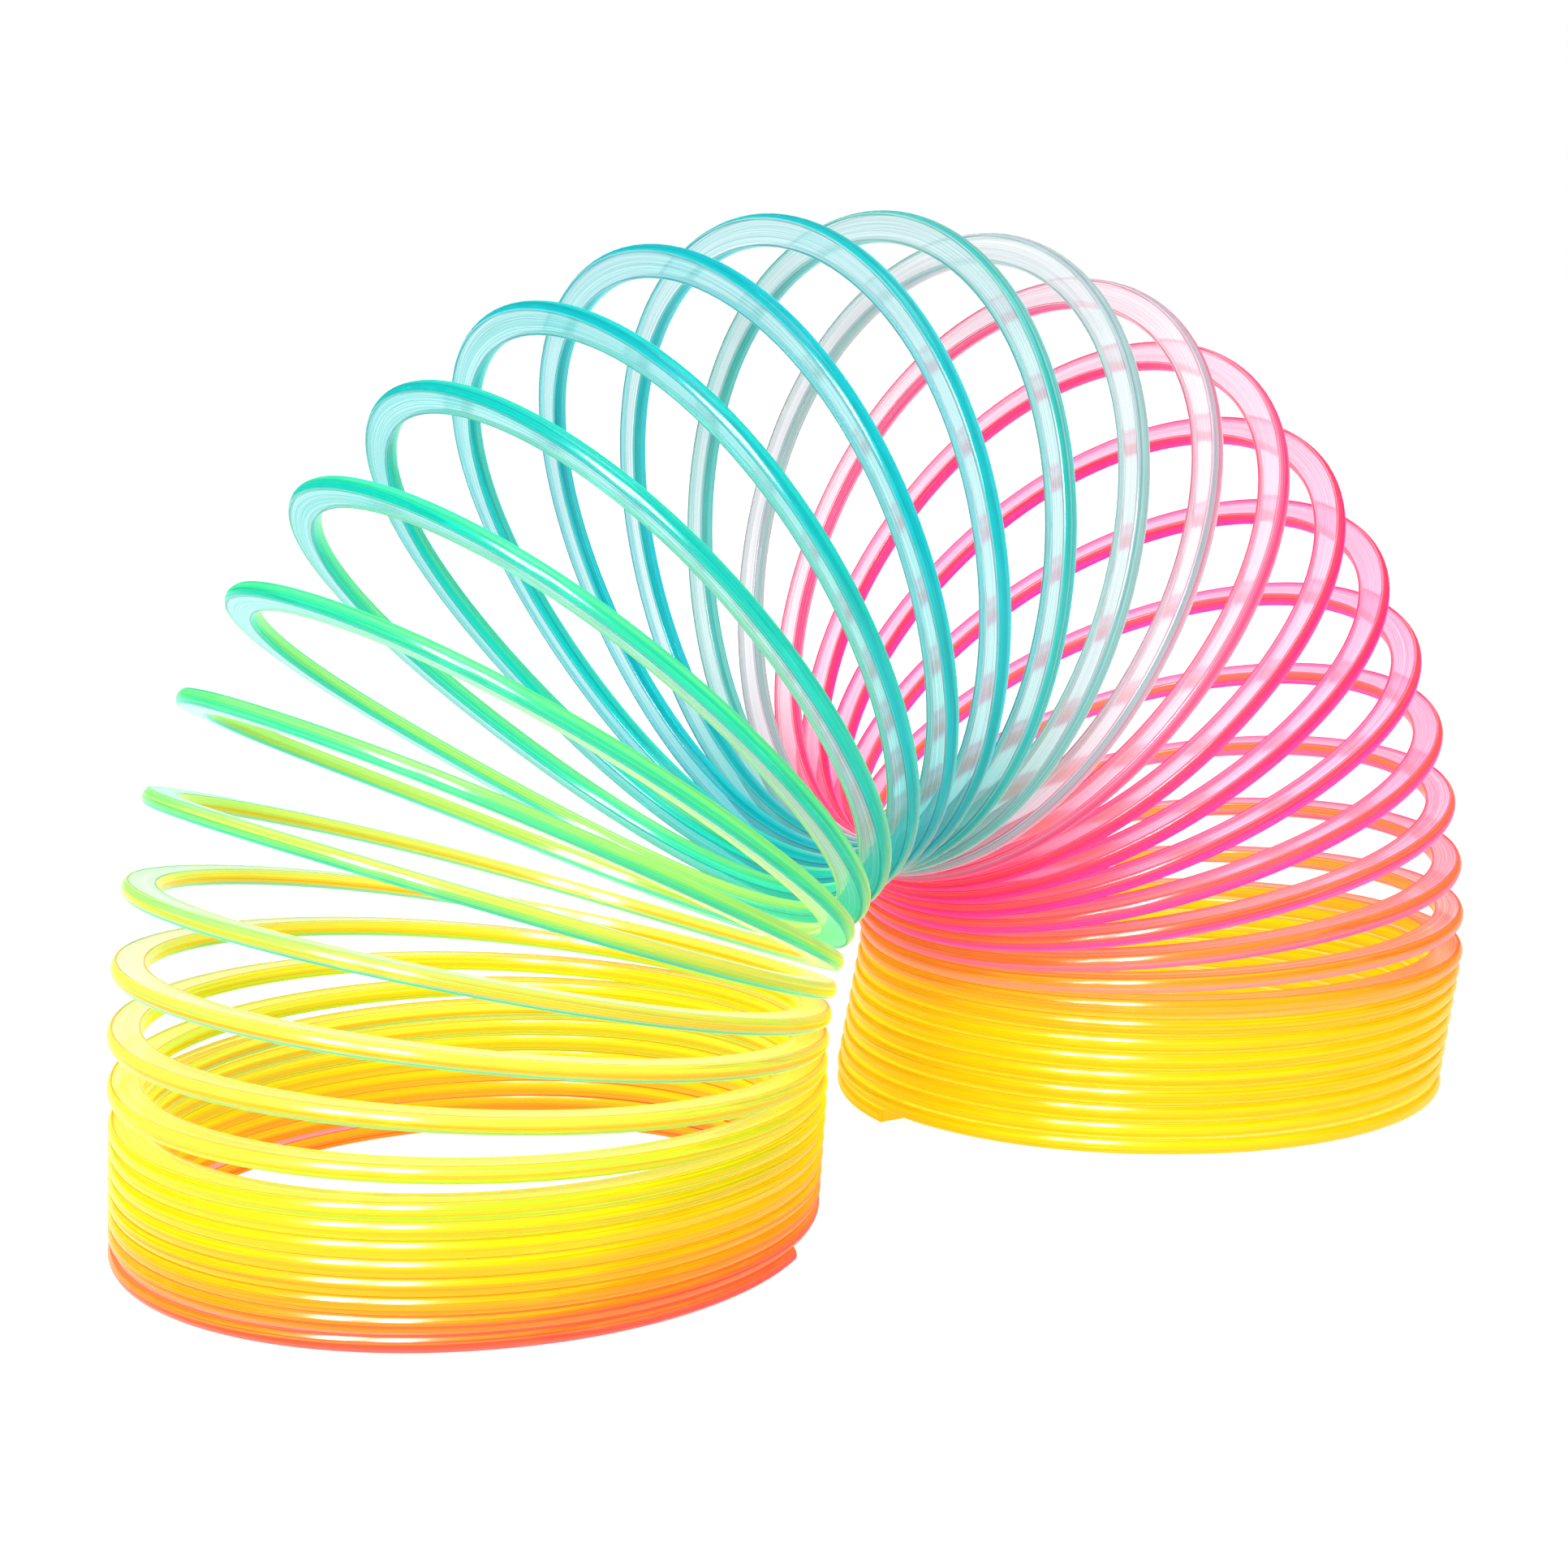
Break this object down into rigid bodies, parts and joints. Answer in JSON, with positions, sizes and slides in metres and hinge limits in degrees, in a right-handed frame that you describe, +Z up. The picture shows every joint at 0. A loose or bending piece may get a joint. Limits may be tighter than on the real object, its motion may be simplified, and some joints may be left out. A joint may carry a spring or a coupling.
{
  "type": "walking coil spring toy",
  "caption": "Translucent rainbow plastic walking coil spring, arched with a closed stack of turns standing at each end.",
  "frame": {"origin": "on the table, at the centre of the left stack's bottom turn", "axes": "+Z up from the table, +X from the left stack towards the right stack, +Y to the back"},
  "size_m": [0.1734, 0.0772, 0.1072],
  "materials": {
    "left_base_turn": "glossy translucent, colour drifting along the ribbon",
    "left_stack_turn_2": "glossy translucent, colour drifting along the ribbon",
    "left_stack_turn_3": "glossy translucent, colour drifting along the ribbon",
    "left_stack_turn_4": "glossy translucent, colour drifting along the ribbon",
    "left_stack_turn_5": "glossy translucent, colour drifting along the ribbon",
    "left_stack_turn_6": "glossy translucent, colour drifting along the ribbon",
    "left_stack_turn_7": "glossy translucent, colour drifting along the ribbon",
    "left_stack_turn_8": "glossy translucent, colour drifting along the ribbon",
    "arch_turn_01": "glossy translucent, colour drifting along the ribbon",
    "arch_turn_02": "glossy translucent, colour drifting along the ribbon",
    "arch_turn_03": "glossy translucent, colour drifting along the ribbon",
    "arch_turn_04": "glossy translucent, colour drifting along the ribbon",
    "arch_turn_05": "glossy translucent, colour drifting along the ribbon",
    "arch_turn_06": "glossy translucent, colour drifting along the ribbon",
    "arch_turn_07": "glossy translucent, colour drifting along the ribbon",
    "arch_turn_08": "glossy translucent, colour drifting along the ribbon",
    "arch_turn_09": "glossy translucent, colour drifting along the ribbon",
    "arch_turn_10": "glossy translucent, colour drifting along the ribbon",
    "arch_turn_11": "glossy translucent, colour drifting along the ribbon",
    "arch_turn_12": "glossy translucent, colour drifting along the ribbon",
    "arch_turn_13": "glossy translucent, colour drifting along the ribbon",
    "arch_turn_14": "glossy translucent, colour drifting along the ribbon",
    "arch_turn_15": "glossy translucent, colour drifting along the ribbon",
    "arch_turn_16": "glossy translucent, colour drifting along the ribbon",
    "arch_turn_17": "glossy translucent, colour drifting along the ribbon",
    "arch_turn_18": "glossy translucent, colour drifting along the ribbon",
    "arch_turn_19": "glossy translucent, colour drifting along the ribbon",
    "arch_turn_20": "glossy translucent, colour drifting along the ribbon",
    "arch_turn_21": "glossy translucent, colour drifting along the ribbon",
    "arch_turn_22": "glossy translucent, colour drifting along the ribbon",
    "arch_turn_23": "glossy translucent, colour drifting along the ribbon",
    "right_stack_turn_9": "glossy translucent, colour drifting along the ribbon",
    "right_stack_turn_8": "glossy translucent, colour drifting along the ribbon",
    "right_stack_turn_7": "glossy translucent, colour drifting along the ribbon",
    "right_stack_turn_6": "glossy translucent, colour drifting along the ribbon",
    "right_stack_turn_5": "glossy translucent, colour drifting along the ribbon",
    "right_stack_turn_4": "glossy translucent, colour drifting along the ribbon",
    "right_stack_turn_3": "glossy translucent, colour drifting along the ribbon",
    "right_stack_turn_2": "glossy translucent, colour drifting along the ribbon",
    "right_base_turn": "glossy translucent, colour drifting along the ribbon"
  },
  "bodies": {
    "left_base_turn": {"left_base_turn": "left_base_turn"},
    "left_stack_turn_2": {"left_stack_turn_2": "left_stack_turn_2"},
    "left_stack_turn_3": {"left_stack_turn_3": "left_stack_turn_3"},
    "left_stack_turn_4": {"left_stack_turn_4": "left_stack_turn_4"},
    "left_stack_turn_5": {"left_stack_turn_5": "left_stack_turn_5"},
    "left_stack_turn_6": {"left_stack_turn_6": "left_stack_turn_6"},
    "left_stack_turn_7": {"left_stack_turn_7": "left_stack_turn_7"},
    "left_stack_turn_8": {"left_stack_turn_8": "left_stack_turn_8"},
    "arch_turn_01": {"arch_turn_01": "arch_turn_01"},
    "arch_turn_02": {"arch_turn_02": "arch_turn_02"},
    "arch_turn_03": {"arch_turn_03": "arch_turn_03"},
    "arch_turn_04": {"arch_turn_04": "arch_turn_04"},
    "arch_turn_05": {"arch_turn_05": "arch_turn_05"},
    "arch_turn_06": {"arch_turn_06": "arch_turn_06"},
    "arch_turn_07": {"arch_turn_07": "arch_turn_07"},
    "arch_turn_08": {"arch_turn_08": "arch_turn_08"},
    "arch_turn_09": {"arch_turn_09": "arch_turn_09"},
    "arch_turn_10": {"arch_turn_10": "arch_turn_10"},
    "arch_turn_11": {"arch_turn_11": "arch_turn_11"},
    "arch_turn_12": {"arch_turn_12": "arch_turn_12"},
    "arch_turn_13": {"arch_turn_13": "arch_turn_13"},
    "arch_turn_14": {"arch_turn_14": "arch_turn_14"},
    "arch_turn_15": {"arch_turn_15": "arch_turn_15"},
    "arch_turn_16": {"arch_turn_16": "arch_turn_16"},
    "arch_turn_17": {"arch_turn_17": "arch_turn_17"},
    "arch_turn_18": {"arch_turn_18": "arch_turn_18"},
    "arch_turn_19": {"arch_turn_19": "arch_turn_19"},
    "arch_turn_20": {"arch_turn_20": "arch_turn_20"},
    "arch_turn_21": {"arch_turn_21": "arch_turn_21"},
    "arch_turn_22": {"arch_turn_22": "arch_turn_22"},
    "arch_turn_23": {"arch_turn_23": "arch_turn_23"},
    "right_stack_turn_9": {"right_stack_turn_9": "right_stack_turn_9"},
    "right_stack_turn_8": {"right_stack_turn_8": "right_stack_turn_8"},
    "right_stack_turn_7": {"right_stack_turn_7": "right_stack_turn_7"},
    "right_stack_turn_6": {"right_stack_turn_6": "right_stack_turn_6"},
    "right_stack_turn_5": {"right_stack_turn_5": "right_stack_turn_5"},
    "right_stack_turn_4": {"right_stack_turn_4": "right_stack_turn_4"},
    "right_stack_turn_3": {"right_stack_turn_3": "right_stack_turn_3"},
    "right_stack_turn_2": {"right_stack_turn_2": "right_stack_turn_2"},
    "right_base_turn": {"right_base_turn": "right_base_turn"}
  },
  "joints": [
    {"name": "left_stack_opening_1", "type": "hinge", "parent": "left_base_turn", "child": "left_stack_turn_2", "pos_m": [0.0357, -0.00027, 0.00218], "axis": [0, 1, 0], "range_deg": [0, 4]},
    {"name": "left_stack_opening_2", "type": "hinge", "parent": "left_stack_turn_2", "child": "left_stack_turn_3", "pos_m": [0.0357, -0.00054, 0.00408], "axis": [0, 1, 0], "range_deg": [0, 4]},
    {"name": "left_stack_opening_3", "type": "hinge", "parent": "left_stack_turn_3", "child": "left_stack_turn_4", "pos_m": [0.0357, -0.00081, 0.00598], "axis": [0, 1, 0], "range_deg": [0, 4]},
    {"name": "left_stack_opening_4", "type": "hinge", "parent": "left_stack_turn_4", "child": "left_stack_turn_5", "pos_m": [0.0357, -0.00108, 0.00788], "axis": [0, 1, 0], "range_deg": [0, 4]},
    {"name": "left_stack_opening_5", "type": "hinge", "parent": "left_stack_turn_5", "child": "left_stack_turn_6", "pos_m": [0.0357, -0.00135, 0.00978], "axis": [0, 1, 0], "range_deg": [0, 4]},
    {"name": "left_stack_opening_6", "type": "hinge", "parent": "left_stack_turn_6", "child": "left_stack_turn_7", "pos_m": [0.0357, -0.00162, 0.01168], "axis": [0, 1, 0], "range_deg": [0, 4]},
    {"name": "left_stack_opening_7", "type": "hinge", "parent": "left_stack_turn_7", "child": "left_stack_turn_8", "pos_m": [0.0357, -0.00189, 0.01358], "axis": [0, 1, 0], "range_deg": [0, 4]},
    {"name": "arch_opening_01", "type": "hinge", "parent": "left_stack_turn_8", "child": "arch_turn_01", "pos_m": [0.0357, -0.00216, 0.01553], "axis": [0, 1, 0], "range_deg": [-1.66, 0.16]},
    {"name": "arch_opening_02", "type": "hinge", "parent": "arch_turn_01", "child": "arch_turn_02", "pos_m": [0.03576, -0.00216, 0.01752], "axis": [0, 1, 0], "range_deg": [-2.91, 0.28]},
    {"name": "arch_opening_03", "type": "hinge", "parent": "arch_turn_02", "child": "arch_turn_03", "pos_m": [0.03592, -0.00216, 0.01954], "axis": [0, 1, 0], "range_deg": [-4.06, 0.39]},
    {"name": "arch_opening_04", "type": "hinge", "parent": "arch_turn_03", "child": "arch_turn_04", "pos_m": [0.03623, -0.00216, 0.02158], "axis": [0, 1, 0], "range_deg": [-5.13, 0.49]},
    {"name": "arch_opening_05", "type": "hinge", "parent": "arch_turn_04", "child": "arch_turn_05", "pos_m": [0.03672, -0.00216, 0.02361], "axis": [0, 1, 0], "range_deg": [-6.12, 0.58]},
    {"name": "arch_opening_06", "type": "hinge", "parent": "arch_turn_05", "child": "arch_turn_06", "pos_m": [0.03744, -0.00216, 0.02561], "axis": [0, 1, 0], "range_deg": [-7.04, 0.67]},
    {"name": "arch_opening_07", "type": "hinge", "parent": "arch_turn_06", "child": "arch_turn_07", "pos_m": [0.03841, -0.00216, 0.02752], "axis": [0, 1, 0], "range_deg": [-7.88, 0.74]},
    {"name": "arch_opening_08", "type": "hinge", "parent": "arch_turn_07", "child": "arch_turn_08", "pos_m": [0.03965, -0.00216, 0.0293], "axis": [0, 1, 0], "range_deg": [-8.62, 0.81]},
    {"name": "arch_opening_09", "type": "hinge", "parent": "arch_turn_08", "child": "arch_turn_09", "pos_m": [0.04115, -0.00216, 0.0309], "axis": [0, 1, 0], "range_deg": [-9.27, 0.87]},
    {"name": "arch_opening_10", "type": "hinge", "parent": "arch_turn_09", "child": "arch_turn_10", "pos_m": [0.0429, -0.00216, 0.03224], "axis": [0, 1, 0], "range_deg": [-9.81, 0.92]},
    {"name": "arch_opening_11", "type": "hinge", "parent": "arch_turn_10", "child": "arch_turn_11", "pos_m": [0.04487, -0.00216, 0.03327], "axis": [0, 1, 0], "range_deg": [-10.23, 0.96]},
    {"name": "arch_opening_12", "type": "hinge", "parent": "arch_turn_11", "child": "arch_turn_12", "pos_m": [0.047, -0.00216, 0.03393], "axis": [0, 1, 0], "range_deg": [-10.53, 0.99]},
    {"name": "arch_opening_13", "type": "hinge", "parent": "arch_turn_12", "child": "arch_turn_13", "pos_m": [0.04921, -0.00216, 0.0342], "axis": [0, 1, 0], "range_deg": [-10.7, 1.01]},
    {"name": "arch_opening_14", "type": "hinge", "parent": "arch_turn_13", "child": "arch_turn_14", "pos_m": [0.05144, -0.00216, 0.03405], "axis": [0, 1, 0], "range_deg": [-10.73, 1]},
    {"name": "arch_opening_15", "type": "hinge", "parent": "arch_turn_14", "child": "arch_turn_15", "pos_m": [0.05361, -0.00216, 0.03349], "axis": [0, 1, 0], "range_deg": [-10.62, 1]},
    {"name": "arch_opening_16", "type": "hinge", "parent": "arch_turn_15", "child": "arch_turn_16", "pos_m": [0.05563, -0.00216, 0.03254], "axis": [0, 1, 0], "range_deg": [-10.37, 0.98]},
    {"name": "arch_opening_17", "type": "hinge", "parent": "arch_turn_16", "child": "arch_turn_17", "pos_m": [0.05744, -0.00216, 0.03124], "axis": [0, 1, 0], "range_deg": [-9.96, 0.94]},
    {"name": "arch_opening_18", "type": "hinge", "parent": "arch_turn_17", "child": "arch_turn_18", "pos_m": [0.05899, -0.00216, 0.02967], "axis": [0, 1, 0], "range_deg": [-9.39, 0.89]},
    {"name": "arch_opening_19", "type": "hinge", "parent": "arch_turn_18", "child": "arch_turn_19", "pos_m": [0.06025, -0.00216, 0.02788], "axis": [0, 1, 0], "range_deg": [-8.67, 0.82]},
    {"name": "arch_opening_20", "type": "hinge", "parent": "arch_turn_19", "child": "arch_turn_20", "pos_m": [0.06122, -0.00216, 0.02593], "axis": [0, 1, 0], "range_deg": [-7.79, 0.73]},
    {"name": "arch_opening_21", "type": "hinge", "parent": "arch_turn_20", "child": "arch_turn_21", "pos_m": [0.0619, -0.00216, 0.0239], "axis": [0, 1, 0], "range_deg": [-6.74, 0.64]},
    {"name": "arch_opening_22", "type": "hinge", "parent": "arch_turn_21", "child": "arch_turn_22", "pos_m": [0.06234, -0.00216, 0.02184], "axis": [0, 1, 0], "range_deg": [-5.51, 0.52]},
    {"name": "arch_opening_23", "type": "hinge", "parent": "arch_turn_22", "child": "arch_turn_23", "pos_m": [0.06258, -0.00216, 0.01978], "axis": [0, 1, 0], "range_deg": [-4.09, 0.39]},
    {"name": "arch_opening_24", "type": "hinge", "parent": "arch_turn_23", "child": "right_stack_turn_9", "pos_m": [0.06266, -0.00216, 0.01775], "axis": [0, 1, 0], "range_deg": [-2.4, 0.23]},
    {"name": "right_stack_opening_1", "type": "hinge", "parent": "right_stack_turn_9", "child": "right_stack_turn_8", "pos_m": [0.06218, -0.00216, 0.01578], "axis": [0, 1, 0], "range_deg": [0, 4]},
    {"name": "right_stack_opening_2", "type": "hinge", "parent": "right_stack_turn_8", "child": "right_stack_turn_7", "pos_m": [0.0617, -0.00216, 0.01388], "axis": [0, 1, 0], "range_deg": [0, 4]},
    {"name": "right_stack_opening_3", "type": "hinge", "parent": "right_stack_turn_7", "child": "right_stack_turn_6", "pos_m": [0.06122, -0.00216, 0.01197], "axis": [0, 1, 0], "range_deg": [0, 4]},
    {"name": "right_stack_opening_4", "type": "hinge", "parent": "right_stack_turn_6", "child": "right_stack_turn_5", "pos_m": [0.06074, -0.00216, 0.01008], "axis": [0, 1, 0], "range_deg": [0, 4]},
    {"name": "right_stack_opening_5", "type": "hinge", "parent": "right_stack_turn_5", "child": "right_stack_turn_4", "pos_m": [0.06026, -0.00216, 0.00817], "axis": [0, 1, 0], "range_deg": [0, 4]},
    {"name": "right_stack_opening_6", "type": "hinge", "parent": "right_stack_turn_4", "child": "right_stack_turn_3", "pos_m": [0.05978, -0.00216, 0.00628], "axis": [0, 1, 0], "range_deg": [0, 4]},
    {"name": "right_stack_opening_7", "type": "hinge", "parent": "right_stack_turn_3", "child": "right_stack_turn_2", "pos_m": [0.0593, -0.00216, 0.00438], "axis": [0, 1, 0], "range_deg": [0, 4]},
    {"name": "right_stack_opening_8", "type": "hinge", "parent": "right_stack_turn_2", "child": "right_base_turn", "pos_m": [0.05882, -0.00216, 0.00248], "axis": [0, 1, 0], "range_deg": [0, 4]}
  ],
  "couplings": [
    {"joint": "left_stack_opening_2", "follows": "left_stack_opening_1", "ratio": 1},
    {"joint": "left_stack_opening_3", "follows": "left_stack_opening_1", "ratio": 1},
    {"joint": "left_stack_opening_4", "follows": "left_stack_opening_1", "ratio": 1},
    {"joint": "left_stack_opening_5", "follows": "left_stack_opening_1", "ratio": 1},
    {"joint": "left_stack_opening_6", "follows": "left_stack_opening_1", "ratio": 1},
    {"joint": "left_stack_opening_7", "follows": "left_stack_opening_1", "ratio": 1},
    {"joint": "arch_opening_01", "follows": "arch_opening_14", "ratio": 0.1535},
    {"joint": "arch_opening_02", "follows": "arch_opening_14", "ratio": 0.2707},
    {"joint": "arch_opening_03", "follows": "arch_opening_14", "ratio": 0.3777},
    {"joint": "arch_opening_04", "follows": "arch_opening_14", "ratio": 0.4772},
    {"joint": "arch_opening_05", "follows": "arch_opening_14", "ratio": 0.5699},
    {"joint": "arch_opening_06", "follows": "arch_opening_14", "ratio": 0.6555},
    {"joint": "arch_opening_07", "follows": "arch_opening_14", "ratio": 0.7334},
    {"joint": "arch_opening_08", "follows": "arch_opening_14", "ratio": 0.8029},
    {"joint": "arch_opening_09", "follows": "arch_opening_14", "ratio": 0.8632},
    {"joint": "arch_opening_10", "follows": "arch_opening_14", "ratio": 0.9136},
    {"joint": "arch_opening_11", "follows": "arch_opening_14", "ratio": 0.9531},
    {"joint": "arch_opening_12", "follows": "arch_opening_14", "ratio": 0.9811},
    {"joint": "arch_opening_13", "follows": "arch_opening_14", "ratio": 0.997},
    {"joint": "arch_opening_15", "follows": "arch_opening_14", "ratio": 0.9897},
    {"joint": "arch_opening_16", "follows": "arch_opening_14", "ratio": 0.9657},
    {"joint": "arch_opening_17", "follows": "arch_opening_14", "ratio": 0.9275},
    {"joint": "arch_opening_18", "follows": "arch_opening_14", "ratio": 0.8749},
    {"joint": "arch_opening_19", "follows": "arch_opening_14", "ratio": 0.8076},
    {"joint": "arch_opening_20", "follows": "arch_opening_14", "ratio": 0.7253},
    {"joint": "arch_opening_21", "follows": "arch_opening_14", "ratio": 0.6274},
    {"joint": "arch_opening_22", "follows": "arch_opening_14", "ratio": 0.513},
    {"joint": "arch_opening_23", "follows": "arch_opening_14", "ratio": 0.3801},
    {"joint": "arch_opening_24", "follows": "arch_opening_14", "ratio": 0.2227},
    {"joint": "right_stack_opening_2", "follows": "right_stack_opening_1", "ratio": 1},
    {"joint": "right_stack_opening_3", "follows": "right_stack_opening_1", "ratio": 1},
    {"joint": "right_stack_opening_4", "follows": "right_stack_opening_1", "ratio": 1},
    {"joint": "right_stack_opening_5", "follows": "right_stack_opening_1", "ratio": 1},
    {"joint": "right_stack_opening_6", "follows": "right_stack_opening_1", "ratio": 1},
    {"joint": "right_stack_opening_7", "follows": "right_stack_opening_1", "ratio": 1},
    {"joint": "right_stack_opening_8", "follows": "right_stack_opening_1", "ratio": 1}
  ]
}
